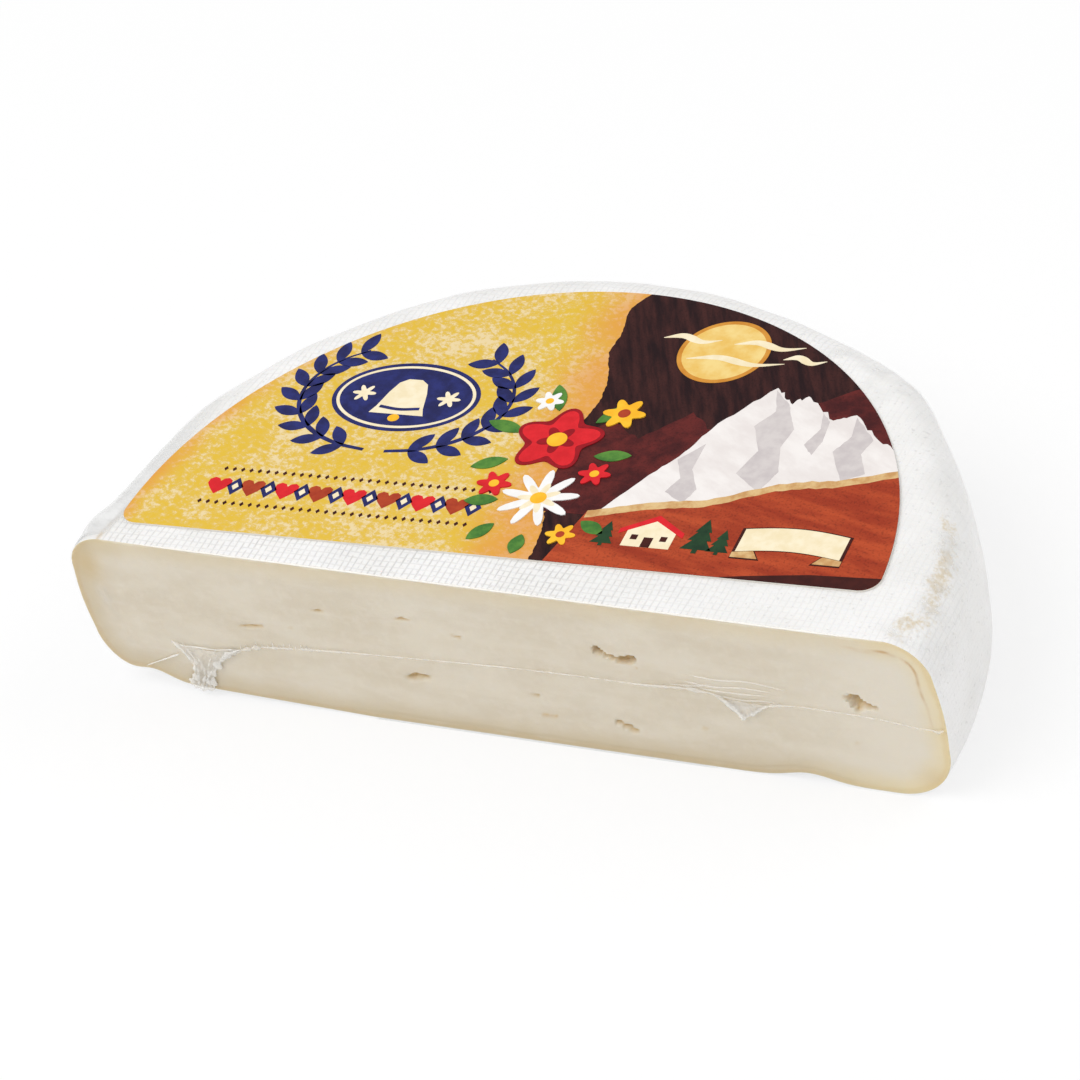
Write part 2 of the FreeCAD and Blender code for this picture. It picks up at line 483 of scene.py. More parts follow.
def wheel_patches(grow, rows, flat_rows, windows=()):
    """Four grids that close round the half wheel: rind band, cut face, top and underside."""
    out, height, run = profile(grow, *rows)
    turn = np.radians(BEARINGS)[None, :]
    radius = outline_radius(BEARINGS)[None, :] + out[:, None]
    band = np.stack([radius * np.cos(turn), radius * np.sin(turn),
                     np.repeat(height[:, None], len(BEARINGS), 1)], -1)
    band[:, [0, -1], 1] = 0
    left, right = band[:, :1], band[:, -1:]
    x = spread(float(left[0, 0, 0]), float(right[0, 0, 0]), len(BEARINGS), windows)
    share = ((x - x[0]) / (x[-1] - x[0]))[None, :, None]
    cut = left + (right - left) * share
    band[..., 1] -= grow * (band[..., 1] < 1e-9)
    cut[..., 1] -= grow
    inwards = (np.linspace(0, 1, flat_rows) ** 2)[:, None, None]
    top = cut[:1] + (band[:1] - cut[:1]) * inwards
    bottom = cut[-1:] + (band[-1:] - cut[-1:]) * inwards
    return (band, cut, top, bottom), run


def push_out(band, push):
    """Moves the rind band outwards by push, but not at its upper and lower edge."""
    normal = np.cross(np.gradient(band, axis=1), np.gradient(band, axis=0))
    normal /= np.maximum(np.linalg.norm(normal, axis=-1, keepdims=True), 1e-9)
    if normal[len(band) // 2, len(BEARINGS) // 2, 1] < 0:
        normal = -normal
    row = np.arange(len(band))
    fade = ease(row, 0, 6) * ease(-row, -len(band) + 1, -len(band) + 7)
    band += normal * (push * fade[:, None])[..., None]


def join_patches(patches):
    """All points, all faces, and for each face 1 where it lies on the cut."""
    parts = [(patch.reshape(-1, 3), grid_faces(*patch.shape[:2], index in (1, 2)))
             for index, patch in enumerate(patches)]
    points, faces = join_parts(parts)
    picks = [int(index == CUT_PATCH) for index, part in enumerate(parts) for _ in part[1]]
    return np.array(points), faces, picks


# --- Eyes in the cut face ---
# Each eye is a chain of (x, z, half width); its depth follows in the last place.
EYES = (
    (((15.9, 19.2, 0.8), (17.3, 18.3, 0.5), (18.9, 17.8, 0.62), (21, 18.3, 0.8)), 1.1),
    (((52.1, 16.8, 0.15), (53.6, 16.4, 0.95), (54.9, 15.5, 0.8), (57.4, 15.4, 0.12)), 1.1),
    (((54.3, 17.3, 0.15), (54, 15.6, 0.85), (54, 14.5, 0.4)), 1),
    (((-16.5, 8.8, 0.35), (-14.9, 9.4, 0.7), (-12.9, 9.5, 0.35)), 0.8),
    (((-29.4, 19.3, 0.12), (-27.9, 19.6, 0.32), (-26.6, 19.7, 0.15)), 0.5),
    (((-42, 14.2, 0.2), (-40.2, 14.5, 0.35), (-38.2, 14.8, 0.28)), 0.5),
    (((-34.7, 15.4, 0.1), (-33.4, 15.4, 0.2)), 0.35),
    (((-15.3, 20.1, 0.15), (-14.1, 20.3, 0.35), (-12.6, 20, 0.12)), 0.5),
    (((-6.9, 18.4, 0.22), (-5.5, 18.1, 0.34)), 0.4),
    (((2, 8.7, 0.18), (4.4, 9, 0.32)), 0.5),
    (((4.2, 5.2, 0.2), (5.4, 5.5, 0.32), (6.4, 5.2, 0.2)), 0.4),
    (((15.9, 5.9, 0.4), (17.4, 5.2, 0.46), (18.8, 4.5, 0.42)), 0.7),
    (((29.4, 7.2, 0.22), (30.2, 7.3, 0.28)), 0.4),
    (((51.4, 8.7, 0.18), (52.8, 8.5, 0.32)), 0.5),
    (((26, 24.5, 0.1), (26.4, 24.5, 0.2)), 0.3),
    (((21.2, 17, 0.1), (21.5, 16.9, 0.16)), 0.2),
    (((52, 20.3, 0.1), (52.4, 20.2, 0.16)), 0.2),
)
EYE_LIP = 0.28


def eye_wells(x, z):
    """Depth of the eyes into the cut at each place, and how far inside an eye it lies (0 to 1)."""
    wobble = lumps(np.stack([x, np.zeros_like(x), z], -1), 0.9, 5)
    depth = np.zeros_like(x)
    inside = np.zeros_like(x)
    for chain, deepest in EYES:
        for (x0, z0, w0), (x1, z1, w1) in zip(chain, chain[1:]):
            run = (x1 - x0) ** 2 + (z1 - z0) ** 2
            share = np.clip(((x - x0) * (x1 - x0) + (z - z0) * (z1 - z0)) / run, 0, 1)
            gap = np.hypot(x - x0 - share * (x1 - x0), z - z0 - share * (z1 - z0))
            width = (w0 + (w1 - w0) * share) * (1 + 0.3 * wobble)
            well = np.clip((width - gap) / EYE_LIP, 0, 1)
            depth = np.maximum(depth, 1.5 * deepest * well * np.clip(width, 0.4, 1))
            inside = np.maximum(inside, well)
    return depth, inside


# --- Cheese ---
def rind_material():
    """A white rind with the print of a cloth, pits, and tan where it is rubbed."""
    material, tree = new_material("rind")
    cloth = in_mm(tree, "cloth")
    place = in_mm(tree, "object")
    drift = mottle(place, 14) * 1.6

    def threads(along, across, pitch, seed):
        """Fine lines that the cloth left in the rind, one every pitch, here and there broken."""
        saw = calc("PINGPONG", along + drift + seed, pitch / 2)
        return saw.ramp(0.19, 0.03) * mottle(stretch(cloth, across), 1, 1).ramp(0.2, 0.56)

    over, up = first_two(cloth)
    warp = threads(over, (1, 0.75, 1), 0.98, 0)
    weft = threads(up, (0.75, 1, 1), 1.08, 0.4)
    lines = calc("MAXIMUM", warp, weft * 0.6) * (mottle(place, 1.6) * 1.1 + 0.45)
    lines = lines * ((mottle(place, 9) * 0.9 + 0.4) * attribute(tree, "weave"))
    lines = calc("MAXIMUM", lines, mottle(place, 0.6, 1).ramp(0.62, 0.76) * 0.6)

    bloom = mottle(place, 14, 3).ramp(0.35, 0.65).mix(rgb(242, 241, 240), rgb(237, 236, 234))
    colour = (lines * 0.4).mix(bloom, rgb(160, 156, 152))
    scuff = attribute(tree, "scuff")
    crinkle = mottle(place, 0.9, 4, 0.65)
    rubbed = (crinkle + scuff * 0.4).ramp(0.66, 1) * scuff.ramp(0.02, 0.3)
    colour = (rubbed * 0.78).mix(colour, rgb(212, 193, 156))
    fold = attribute(tree, "fold") * crinkle.ramp(0.3, 0.55)
    colour = (fold * 0.75).mix(colour, rgb(200, 176, 136))

    height = 1 - lines + mottle(place, 0.4) * 0.5 + crinkle * scuff * 3
    return finish_food(material, colour, 0.62, bump(height, 0.05), 0.08, (1, 0.8, 0.6), 1)


def paste_material():
    """Ivory paste, yellower under the rind, with tan eyes and cracks."""
    material, tree = new_material("paste")
    place = in_mm(tree, "object")
    cloud = mottle(stretch(place, (0.4, 1, 1)), 7, 5, 0.62)
    fine = mottle(place, 1.2, 3, 0.6)
    smear = mottle(stretch(place, (0.22, 1, 1.3)), 2.2, 3, 0.6)
    fresh = attribute(tree, "fresh")
    wander = (mottle(place, 5, 4) - 0.5) * 1.8
    rim = attribute(tree, "rind_gap") + wander
    top = attribute(tree, "top_gap") + wander
    band = fresh.mix(rgb(203, 187, 155), rgb(228, 212, 172))
    edge = fresh.mix(rgb(198, 176, 134), rgb(220, 198, 148))
    body = cloud.ramp(0.36, 0.64).mix(rgb(220, 210, 191), rgb(212, 200, 178))
    for share, tint in (
        (smear.ramp(0.5, 0.75) * 0.4, rgb(222, 213, 197)),
        (fresh * 0.75, rgb(226, 217, 200)),
        (fine.ramp(0.45, 0.75) * 0.3, rgb(227, 218, 202)),
        (rim.ramp(4.8, 0.6) * 0.85, band),
        (rim.ramp(1.2, 0.4) * 0.7, edge),
        (attribute(tree, "foot") * 0.45, rgb(188, 166, 126)),
        (top.ramp(4.5, 0.4) * 0.55, rgb(219, 203, 166)),
        (top.ramp(0.5, 0.1) * 0.5, rgb(232, 224, 205)),
        (attribute(tree, "tan") * 0.7, rgb(202, 176, 122)),
        (attribute(tree, "crack") * 0.9, rgb(190, 144, 78)),
        (attribute(tree, "eye") * 0.95, rgb(206, 175, 116)),
    ):
        body = share.mix(body, tint)
    normal = bump(fine * 0.6 + cloud, 0.12)
    return finish_food(material, body, 0.42, normal, 0.25, (1, 0.75, 0.45), 2)


def edge_gap(cut, edge):
    """Distance from each point of the cut to the nearest point of an edge line on it."""
    places, edge = cut[..., [0, 2]], edge[:, [0, 2]]
    nearest = np.full(places.shape[:2], 1e9)
    for a, b in zip(edge[:-1], edge[1:]):
        run = b - a
        share = np.clip(((places - a) @ run) / max(run @ run, 1e-12), 0, 1)
        gap = places - a - share[..., None] * run
        nearest = np.minimum(nearest, np.hypot(gap[..., 0], gap[..., 1]))
    return nearest


def cut_marks(cut):
    """Numbers for the paste: how near the rind is, and where it is cracked, tan or fresh."""
    x, z = cut[..., 0], cut[..., 2]
    sides = np.concatenate([cut[:, 0], cut[-1], cut[::-1, -1]])
    top_gap = edge_gap(cut, cut[0, ::12])
    rind_gap = edge_gap(cut, sides[::2])
    course = 2 + 0.5 * lumps(cut, 3.5, 9)
    crack = hump(np.minimum(rind_gap, top_gap), course, 0.22) * (0.7 + lumps(cut, 1.6, 3))
    crack *= ease(x, 52, 60) * (0.25 + 0.75 * ease(z, 16, 23))
    crack *= ease(z, 11, 15)
    brown = hump(x, -65, 2.4) * hump(z, 23, 3.6) + 0.7 * hump(x, 63.5, 2.5) * hump(z, 3, 2.5)
    fresh = ease(x, 38, 60)
    foot_gap = edge_gap(cut, cut[-1, ::6]) + 0.25 * lumps(cut, 5, 2)
    foot = hump(foot_gap, 1.2, 0.25) * ease(x, -32, -20) * (1 - fresh)
    return {"rind_gap": rind_gap, "top_gap": top_gap, "crack": crack, "foot": foot,
            "tan": np.clip(brown, 0, 1), "fresh": fresh}


def make_cheese():
    windows = ((13.5, 22.5), (50.5, 58.5))
    patches, run = wheel_patches(0, (18, 38, 22), 26, windows)
    band, cut = patches[:2]
    push_out(band, rind_relief(band))
    depth, inside = eye_wells(cut[..., 0], cut[..., 2])
    cut[..., 1] += depth * ease(np.arange(len(cut)), 0, 2)[:, None]
    settle(patches)
    points, faces, picks = join_patches(patches)

    values = {}
    for name, numbers in (*cut_marks(cut).items(), ("eye", inside)):
        full = [np.zeros(patch.shape[:2]) for patch in patches]
        full[CUT_PATCH] = numbers
        values[name] = np.concatenate([part.ravel() for part in full])
    x, y, z = points.T
    values["scuff"] = np.clip(crumple_zone(points) * (from_rim(points)[0] < 40)
                              * (0.8 + 0.9 * lumps(points, 4, 2)), 0, 1)
    weave = 0.34 + 0.66 * ease(-x, -44, -14)
    weave = weave * (0.55 + 0.45 * ease(z, 19, 25))
    values["weave"] = weave * (1 - 0.45 * ease(y, 8, 22)) * (1 - corner_band(points))
    values["fold"] = corner_fold(points)

    unrolled = (outline_radius(BEARINGS) - TOP_RIM - SIDE_BULGE)[None, :] + run[:, None]
    turn = np.radians(BEARINGS)[None, :]
    cloth = [np.stack([unrolled * np.cos(turn), unrolled * np.sin(turn)], -1)]
    cloth += [patch[..., :2] for patch in patches[1:]]
    cloth = np.concatenate([part.reshape(-1, 2) for part in cloth])
    mesh_piece("cheese", points, faces, [rind_material(), paste_material()], "half_wheel",
               maps={"cloth": cloth}, values=values, picks=picks, welded=True)


# --- Film ---
CORNER_BRIDGE = 6.5
CORNER_SWELL = 0.6
FILM_CRUMPLE = 0.6


def film_material(name, haze_and_glints, colour, roughness):
    """Clear film: its whiteness, a number or the name of a number on the points, stands for haze
    and in places for painted highlights.
    """
    material, tree = new_material(name)
    settings = {"Base Color": rgb(*colour), "Roughness": roughness, "Specular IOR Level": 0.7}
    if isinstance(haze_and_glints, str):
        place = stretch(in_mm(tree, "object"), (0.35, 1, 1), 20)
        streaks = mottle(place, 2.2, 3, 0.6) + 0.55
        haze_and_glints = calc("MINIMUM", attribute(tree, haze_and_glints) * streaks, 0.9)
    return finish(material, {**settings, "Alpha": haze_and_glints})


def film_piece(name, parts, look, haze_and_glints, colour, roughness):
    points, faces = join_parts(parts)
    mesh_piece(name, points, faces, [film_material(look, haze_and_glints, colour, roughness)])


def corner_swell(points):
    """How far the film stands off the rim beside the pulled-in corner, in millimetres."""
    x, y, z = np.moveaxis(points, -1, 0)
    along = hump(y, 5, 3.6) * ease(y, 0, 4.5)
    return CORNER_SWELL * along * hump(z, WHEEL_HEIGHT - 1.5, 3) * (x < 0)


def corner_fold(points):
    """1 along the cheese's own corner, seen as a fine tan line under the bridging film."""
    angle, gap = from_rim(points)
    line = hump(gap, CORNER_BRIDGE - 0.1, 0.35)
    return line * ease(angle, 172, 177) * ease(points[:, 2], 20, 26)


def corner_band(points):
    """1 where the film bridges the pulled-in corner at the left end, 0 elsewhere."""
    angle, gap = from_rim(points)
    over = ease(-gap, -CORNER_BRIDGE - 1.2, -CORNER_BRIDGE + 0.6)
    return over * ease(angle, 144, 168) * ease(points[:, 2], 10, 24)


def make_film():
    """The film's clear skin, hazy where it bridges the corner, and whiter where it is crumpled as
    a painted highlight.
    """
    patches, run = wheel_patches(FILM, (16, 18, 14), 14)
    band, cut = patches[:2]
    push_out(band, rind_relief(band, FILM_CRUMPLE) + corner_swell(band))
    ripple = lumps(cut * (0.5, 1, 1), 5, 4)
    cut[1:-1, 1:-1, 1] -= 0.05 + 0.05 * ripple[1:-1, 1:-1]
    settle(patches)
    points, faces, picks = join_patches(patches)
    x, y, z = points.T
    haze_and_glints = 0.03 + 0.68 * corner_band(points) * ease(y, 0, 2)
    haze_and_glints += 0.10 * ease(lumps(points, 7, 9), 0.1, 0.5) * (y > 0.5)
    # Painted highlight: the crumpled film is made whiter, to stand for the glints of its wrinkles.
    haze_and_glints += 0.5 * crumple_zone(points) * ease(lumps(points * (0.6, 1, 1), 2.4, 4), -0.2, 0.5)
    gleam = hump(x, -63.9 - 0.24 * (z - 16.9), 0.9) * hump(z, 16.9, 2.4)
    haze_and_glints += 0.16 * gleam * (y < 0)
    material = film_material("clear_film", "haze_and_glints", (238, 238, 237), 0.12)
    mesh_piece("film", points, faces, [material], "film",
               values={"haze_and_glints": np.clip(haze_and_glints, 0, 1)}, welded=True)


STRAND_SIDES = 8
STRAND_DEPTH = 0.3


def strand(path, normal, widths, height, seed, roughness):
    """A flat bead that follows a path on a surface and tapers at its ends."""
    points = []
    count = len(path)
    for index in range(count):
        ahead = path[min(index + 1, count - 1)] - path[max(index - 1, 0)]
        side = normal.cross(ahead).normalized()
        swell = 1 + roughness * noise.noise(path[index] / 0.8 + Vector((seed, 0, 0)))
        end = min(1, (min(index, count - 1 - index) + 0.15) / (count * 0.08 + 1))
        for corner in range(STRAND_SIDES):
            turn = 2 * pi * corner / STRAND_SIDES
            across = side * (cos(turn) * widths[index] / 2 * swell * end)
            rise = normal * (sin(turn) * height * swell * end)
            rise *= 1 if sin(turn) > 0 else STRAND_DEPTH
            points.append(path[index] + across + rise)
    return points, tube_faces(count, STRAND_SIDES)


def bead(corners, count, widths, height, seed, roughness, lift=0):
    """A bead on the film over the cut face, through places given as (x, z)."""
    path = [Vector((x, -FILM - lift, z)) for x, z in smooth_line(corners, count)]
    return strand(path, Vector((0, -1, 0)), along_line(widths, count), height, seed, roughness)


SEAM = ((-50.2, 3.8), (-48.6, 5.8), (-46.2, 8.1), (-44.1, 9.4), (-40.3, 10.8), (-35.8, 11.4),
        (-26.8, 12.2), (-13.7, 13), (-5.1, 13.5), (9.1, 14), (22.4, 14.1), (30.1, 14.4),
        (33, 13.9), (35.1, 12.3), (36.2, 10.6))
SEAM_RIGHT = ((36.2, 10.6), (37.8, 11.4), (40.3, 13.2), (43.5, 13.8), (50.2, 13.9), (57.5, 13.6),
              (62.7, 13), (65.6, 13))


def make_seam():
    """The weld across the cut face: a fine bead, crinkled at its dip and at both ends."""
    parts = [
        bead(SEAM, 520, (0.7, 0.6, 0.42, 0.26, 0.2, 0.18, 0.17, 0.16, 0.2, 0.45, 0.8),
                   0.08, 1, 1.8),
        bead(SEAM_RIGHT, 220, (0.8, 0.45, 0.22, 0.16, 0.13, 0.13, 0.15, 0.2), 0.06, 2, 1.8),
        bead(((64.3, 13.1), (65.4, 12.8), (66.2, 13.3)), 24, (0.2, 0.5, 0.2), 0.12, 4, 0.9),
    ]
    seam_x, seam_z = zip(*SEAM)
    for index in range(16):
        x = -46 + 0.95 * index
        foot = float(np.interp(x, seam_x, seam_z))
        tick = ((x, foot), (x + 0.1, foot + 0.9 + 0.4 * sin(index * 2.3)))
        parts.append(bead(tick, 8, (0.25, 0.1), 0.08, index, 0.3))
    film_piece("film_seam", parts, "film_weld", 0.36, (250, 246, 238), 0.3)


FOLDS = (
    ((26.1, 14.9), (30.3, 15.3), (32.9, 16.1)),
    ((27.9, 16), (32.3, 15.5), (37.4, 16), (41.8, 15.9)),
    ((30.2, 14.9), (33.7, 14.8), (37.7, 14.9), (40.7, 15.1)),
    ((32, 14.2), (36.4, 13.7), (40.5, 14.1), (43.3, 13.8)),
    ((33.6, 12.9), (36.3, 12.4), (39, 12.9)),
    ((29, 17.2), (33.5, 16.9), (38, 17.3), (44.2, 16.6)),
)


def make_creases():
    """Fine folds where the film is drawn tight over the dip, whitish in part as a painted
    highlight, and a whitish strand along the top that is a painted highlight of the film's edge.
    """
    # The folds are real shapes, and their whitish colour is in part a painted highlight.
    parts = [bead(line, 40, (0.1, 0.3, 0.36, 0.24, 0.1), 0.05, index, 0.6)
             for index, line in enumerate(FOLDS)]
    film_piece("film_fold_highlights", parts, "fold_highlight_film", 0.24, (253, 250, 244), 0.1)

    # Painted highlight: a whitish strand of film along the top edge of the cut stands for the
    # gleam there.
    edge = [Vector((x, -FILM, WHEEL_HEIGHT + FILM)) for x in np.linspace(-59.5, 60.5, 200)]
    rim = strand(edge, Vector((0, -0.7, 0.7)), [0.27] * len(edge), 0.04, 31, 0.5)
    film_piece("painted_edge_highlight", [rim], "painted_highlight_film", 0.6, (253, 250, 243), 0.15)


GATHER_LEFT = ((-54.9, 10.1), (-53.4, 8.1), (-52.3, 5.8), (-52.8, 3.7), (-54.2, 1.6))
GATHER_RIGHT = ((-43.2, 10.1), (-46.1, 8.4), (-48.6, 5.6), (-49.8, 3.2), (-50.2, 1.2))


def crumpled_web(left, right, rows, columns, sag, seed):
    """A crumpled sheet on the cut face between two lines of (x, z), its top edge sagging."""
    left = smooth_line(left, rows)
    right = smooth_line(right, rows)
    share = np.linspace(0, 1, columns)[None, :, None]
    web = left[:, None, :] + (right - left)[:, None, :] * share
    fade = (1 - np.linspace(0, 1, rows)[:, None]) ** 2
    web[..., 1] -= sag * np.sin(pi * share[..., 0]) * fade
    places = np.stack([web[..., 0] * 1.6, np.full(web.shape[:2], seed), web[..., 1] * 0.7], -1)
    crumple = lumps(places, 1.3, 6) + 0.5 * lumps(places, 0.6, 7)
    stand = np.clip(0.3 + 0.3 * crumple, 0.05, 0.8)
    points = np.stack([web[..., 0], -FILM - stand, web[..., 1]], -1)
    return points.reshape(-1, 3), grid_faces(rows, columns)


def make_gather():
    """The spare film at the lower left, tucked underneath, and the crumpled dip of the weld."""
    dip = (((32.6, 14), (34.6, 12.6), (36, 10.7)), ((41, 13.6), (38.6, 12), (36.6, 10.6)))
    sheets = [crumpled_web(GATHER_LEFT, GATHER_RIGHT, 34, 30, 0.9, 0),
              crumpled_web(*dip, 16, 26, 0.2, 4)]
    film_piece("film_gather", sheets, "film_web", 0.32, (254, 250, 243), 0.08)
    parts = [
        bead(GATHER_RIGHT, 110, (0.3, 0.7, 0.9, 0.8, 0.9), 0.22, 11, 1.8, 0.1),
        bead(GATHER_LEFT, 90, (0.3, 0.6, 0.7, 0.7, 0.8), 0.2, 12, 1.8, 0.1),
        bead(((-54.2, 7.4), (-57.6, 5.7), (-61, 4)), 40,
                   (0.35, 0.22, 0.2), 0.12, 13, 0.6),
        bead(((-54.4, 9), (-51.5, 9.2), (-48, 9.2), (-44, 9.8)), 50,
                   (0.3, 0.2, 0.2, 0.4), 0.12, 15, 0.6),
        bead(((-53.8, 1.5), (-52, 1.1), (-50, 1.3)), 30, (0.5, 0.8, 0.5), 0.4, 16, 1),
        bead(((33.6, 13.4), (35.2, 12), (36.3, 10.6), (37.8, 11.4), (39.4, 12.6)), 60,
                   (0.3, 0.7, 1, 0.7, 0.3), 0.3, 3, 1.5),
    ]
    for index, share in enumerate((0.16, 0.3, 0.5, 0.68, 0.82)):
        line = [(a[0] + (b[0] - a[0]) * share + 0.25 * sin(3.1 * row + 2 * index),
                 a[1] + (b[1] - a[1]) * share - 0.3 * (row == 0))
                for row, (a, b) in enumerate(zip(GATHER_LEFT, GATHER_RIGHT))]
        line = line[index % 3:]
        parts.append(bead(line, 60, (0.15, 0.3, 0.45), 0.16, 40 + index, 1.6, 0.15))
    film_piece("film_gather_arms", parts, "film_knot", 0.52, (255, 253, 248), 0.12)


# --- Label ---
# Places on the label are (u, v): along its straight edge from the middle, and up from that edge.
LABEL_MIDDLE = (-2.3, 6.3)
LABEL_TURN = radians(2.4)
LABEL_RADIUS = WHEEL_RADIUS - TOP_RIM - 1.7
LABEL_CORNER = 2.7
LABEL_TOP = WHEEL_HEIGHT + FILM + LABEL_THICKNESS
LABEL_FOOT = WHEEL_HEIGHT + 0.02
INK_STEP = 0.012
INK_DEPTH = 0.03


def label_outline():
    """The half disc with its two small round corners, turning left."""
    small = LABEL_CORNER
    middle = sqrt((LABEL_RADIUS - small) ** 2 - small**2)
    tilt = atan2(small, middle)
    corner = [(middle + small * cos(turn), small + small * sin(turn))
              for turn in np.linspace(-pi / 2, tilt, 12)]
    arc = [(LABEL_RADIUS * cos(turn), LABEL_RADIUS * sin(turn))
           for turn in np.linspace(tilt, pi - tilt, 200)[1:-1]]
    return corner + arc + [(-u, v) for u, v in corner][::-1]


def left_of(a, b, place):
    """Above zero where a place lies on the left of the run from a to b."""
    return (b[0] - a[0]) * (place[1] - a[1]) - (b[1] - a[1]) * (place[0] - a[0])


def clip_to_label(shape, border):
    """The part of a shape that lies on the label, whose outline bulges everywhere."""
    kept = list(shape)
    for a, b in zip(border, border[1:] + border[:1]):
        sides = [left_of(a, b, place) for place in kept]
        result = []
        for index, here in enumerate(kept):
            there, before, after = kept[index - 1], sides[index - 1], sides[index]
            if (before >= -1e-9) != (after >= -1e-9):
                t = before / (before - after)
                result.append((there[0] + (here[0] - there[0]) * t,
                               there[1] + (here[1] - there[1]) * t))
            if after >= -1e-9:
                result.append(here)
        kept = result
    return kept


def on_label(shape, height):
    """Places on the label, in the wheel's own frame at this height."""
    c, s = cos(LABEL_TURN), sin(LABEL_TURN)
    return [(LABEL_MIDDLE[0] + u * c - v * s, LABEL_MIDDLE[1] + u * s + v * c, height)
            for u, v in shape]


def plate(shape, low, high):
    """A flat plate of this shape between two heights."""
    tidy = [p for i, p in enumerate(shape) if dist(p, shape[i - 1]) > 1e-4]
    if sum(a[0] * b[1] - b[0] * a[1] for a, b in zip(tidy, tidy[1:] + tidy[:1])) < 0:
        tidy = tidy[::-1]
    return on_label(tidy, low) + on_label(tidy, high), tube_faces(2, len(tidy))


def pen(corners, widths, low, high, count=60):
    """A raised pen stroke, with its width given from start to end."""
    line = smooth_line(corners, count)
    heading = np.gradient(line, axis=0)
    heading /= np.linalg.norm(heading, axis=1)[:, None]
    half = along_line(widths, count) / 2
    side = np.stack([-heading[:, 1], heading[:, 0]], -1) * half[:, None]
    left, right = line + side, line - side
    rows = (on_label(left, high), on_label(right, high),
            on_label(right, low), on_label(left, low))
    return [place for ring in zip(*rows) for place in ring], tube_faces(count, 4)


def oval(u, v, wide, high, count=72):
    """An ellipse of these half sizes."""
    turns = [2 * pi * i / count for i in range(count)]
    return [(u + wide * cos(t), v + high * sin(t)) for t in turns]


def petals(u, v, inner, outer, number, count=8, turn=0):
    """A flower: its edge swings between two radii."""
    shape = []
    for i in range(number * count):
        angle = 2 * pi * i / (number * count)
        radius = inner + (outer - inner) * (0.5 + 0.5 * cos(number * angle))
        shape.append((u + radius * cos(angle + turn), v + radius * sin(angle + turn)))
    return shape


def placed(shape, u, v, scale=1, turn=0):
    """A shape drawn about the origin, sized, turned in degrees and moved to its place."""
    c, s = cos(radians(turn)) * scale, sin(radians(turn)) * scale
    return [(u + x * c - y * s, v + x * s + y * c) for x, y in shape]


def leaf(u, v, length, width, turn):
    """A pointed leaf from its stalk."""
    share = np.linspace(0, 1, 13)
    side = width / 2 * np.sin(pi * share) ** 0.8
    shape = list(zip(length * share, side)) + list(zip(length * share, -side))[-2:0:-1]
    return placed(shape, u, v, turn=turn)


HEART = [(0, -1), (0.62, -0.35), (0.98, 0.15), (0.95, 0.6), (0.6, 0.85), (0.2, 0.75),
         (0, 0.45), (-0.2, 0.75), (-0.6, 0.85), (-0.95, 0.6), (-0.98, 0.15), (-0.62, -0.35)]
DIAMOND = [(0, -1), (0.7, 0), (0, 1), (-0.7, 0)]
FIR = [(-0.35, -3), (0.35, -3), (0.35, -2.3), (2.1, -2.3), (0.95, -0.6), (1.6, -0.6),
       (0.7, 1), (1.1, 1), (0, 3.4), (-1.1, 1), (-0.7, 1), (-1.6, -0.6), (-0.95, -0.6),
       (-2.1, -2.3), (-0.35, -2.3)]
BELL = [(-2.9, -2.6), (2.9, -2.6), (2.5, -1.6), (2, 0.6), (1.5, 2), (0.7, 2.6), (-0.7, 2.6),
        (-1.5, 2), (-2, 0.6), (-2.5, -1.6)]


def ridge_line(corners, jag, steps, seed):
    """A mountain's edge: straight runs with small jags between the corners."""
    line = []
    for (u0, v0), (u1, v1) in zip(corners, corners[1:]):
        for step in range(steps):
            t = step / steps
            sway = noise.noise(Vector((u0 + (u1 - u0) * t, v0 * 0.3 + t * 4, seed))) * jag
            line.append((u0 + (u1 - u0) * t, v0 + (v1 - v0) * t + (sway if step else 0)))
    return line + [corners[-1]]


def torn_edge():
    """The border of the pale field, from the top of the label to its straight edge."""
    corners = ((3.4, 59), (0.9, 54.5), (1.6, 49), (1.4, 44.6), (3.4, 39), (4.1, 34),
               (3, 27), (3.7, 18.7), (5.2, 11), (6.6, 5), (7, -1))
    line = smooth_line(corners, 150)
    line[:, 0] += [0.35 * noise.noise(Vector((0, v / 0.9, 2))) for u, v in line]
    return [tuple(p) for p in line]


def ink_material(name, first, second, lump=2, streak=None, grain=0):
    """Print on satin paper: two close colours in lumps or streaks, under fine grain."""
    material, tree = new_material("ink_" + name)
    place = in_mm(tree, "object")
    field = stretch(place, *streak) if streak else place
    colour = mottle(field, lump, 4, 0.6).ramp(0.32, 0.68).mix(rgb(*first), rgb(*second))
    if grain:
        speck = mottle(place, 0.3, 1).ramp(0.5, 0.75)
        colour = (speck * grain).mix(colour, rgb(20, 12, 12))
    return finish(material, {"Base Color": colour, **PAPER})


def parchment_material():
    """Mottled yellow paper with pale fibres, browner towards the arc and the torn edge."""
    material, tree = new_material("parchment")
    place = in_mm(tree, "object")
    u, v = first_two(in_mm(tree, "label"))
    sway = (mottle(place, 6, 3) - 0.5) * 7
    corner = (u + sway).ramp(-30, -56)
    arc = (calc("SQRT", u * u + v * v) + sway).ramp(53.5, 60.5) * (corner * 0.92 + 0.08)
    brown = calc("MAXIMUM", arc, (u + sway).ramp(-8, 2.5) * 0.85)
    fibre = mottle(stretch(place, (0.8, 1, 1), 15), 0.8, 4, 0.72)
    patch = fibre + (mottle(place, 9) - 0.5) * 0.45
    colour = patch.ramp(0.36, 0.6).mix(rgb(222, 184, 62), rgb(220, 188, 104))
    colour = (patch.ramp(0.49, 0.64) * 0.85).mix(colour, rgb(232, 212, 168))
    colour = (brown * 0.9).mix(colour, rgb(222, 150, 72))
    return finish(material, {"Base Color": colour, **PAPER})


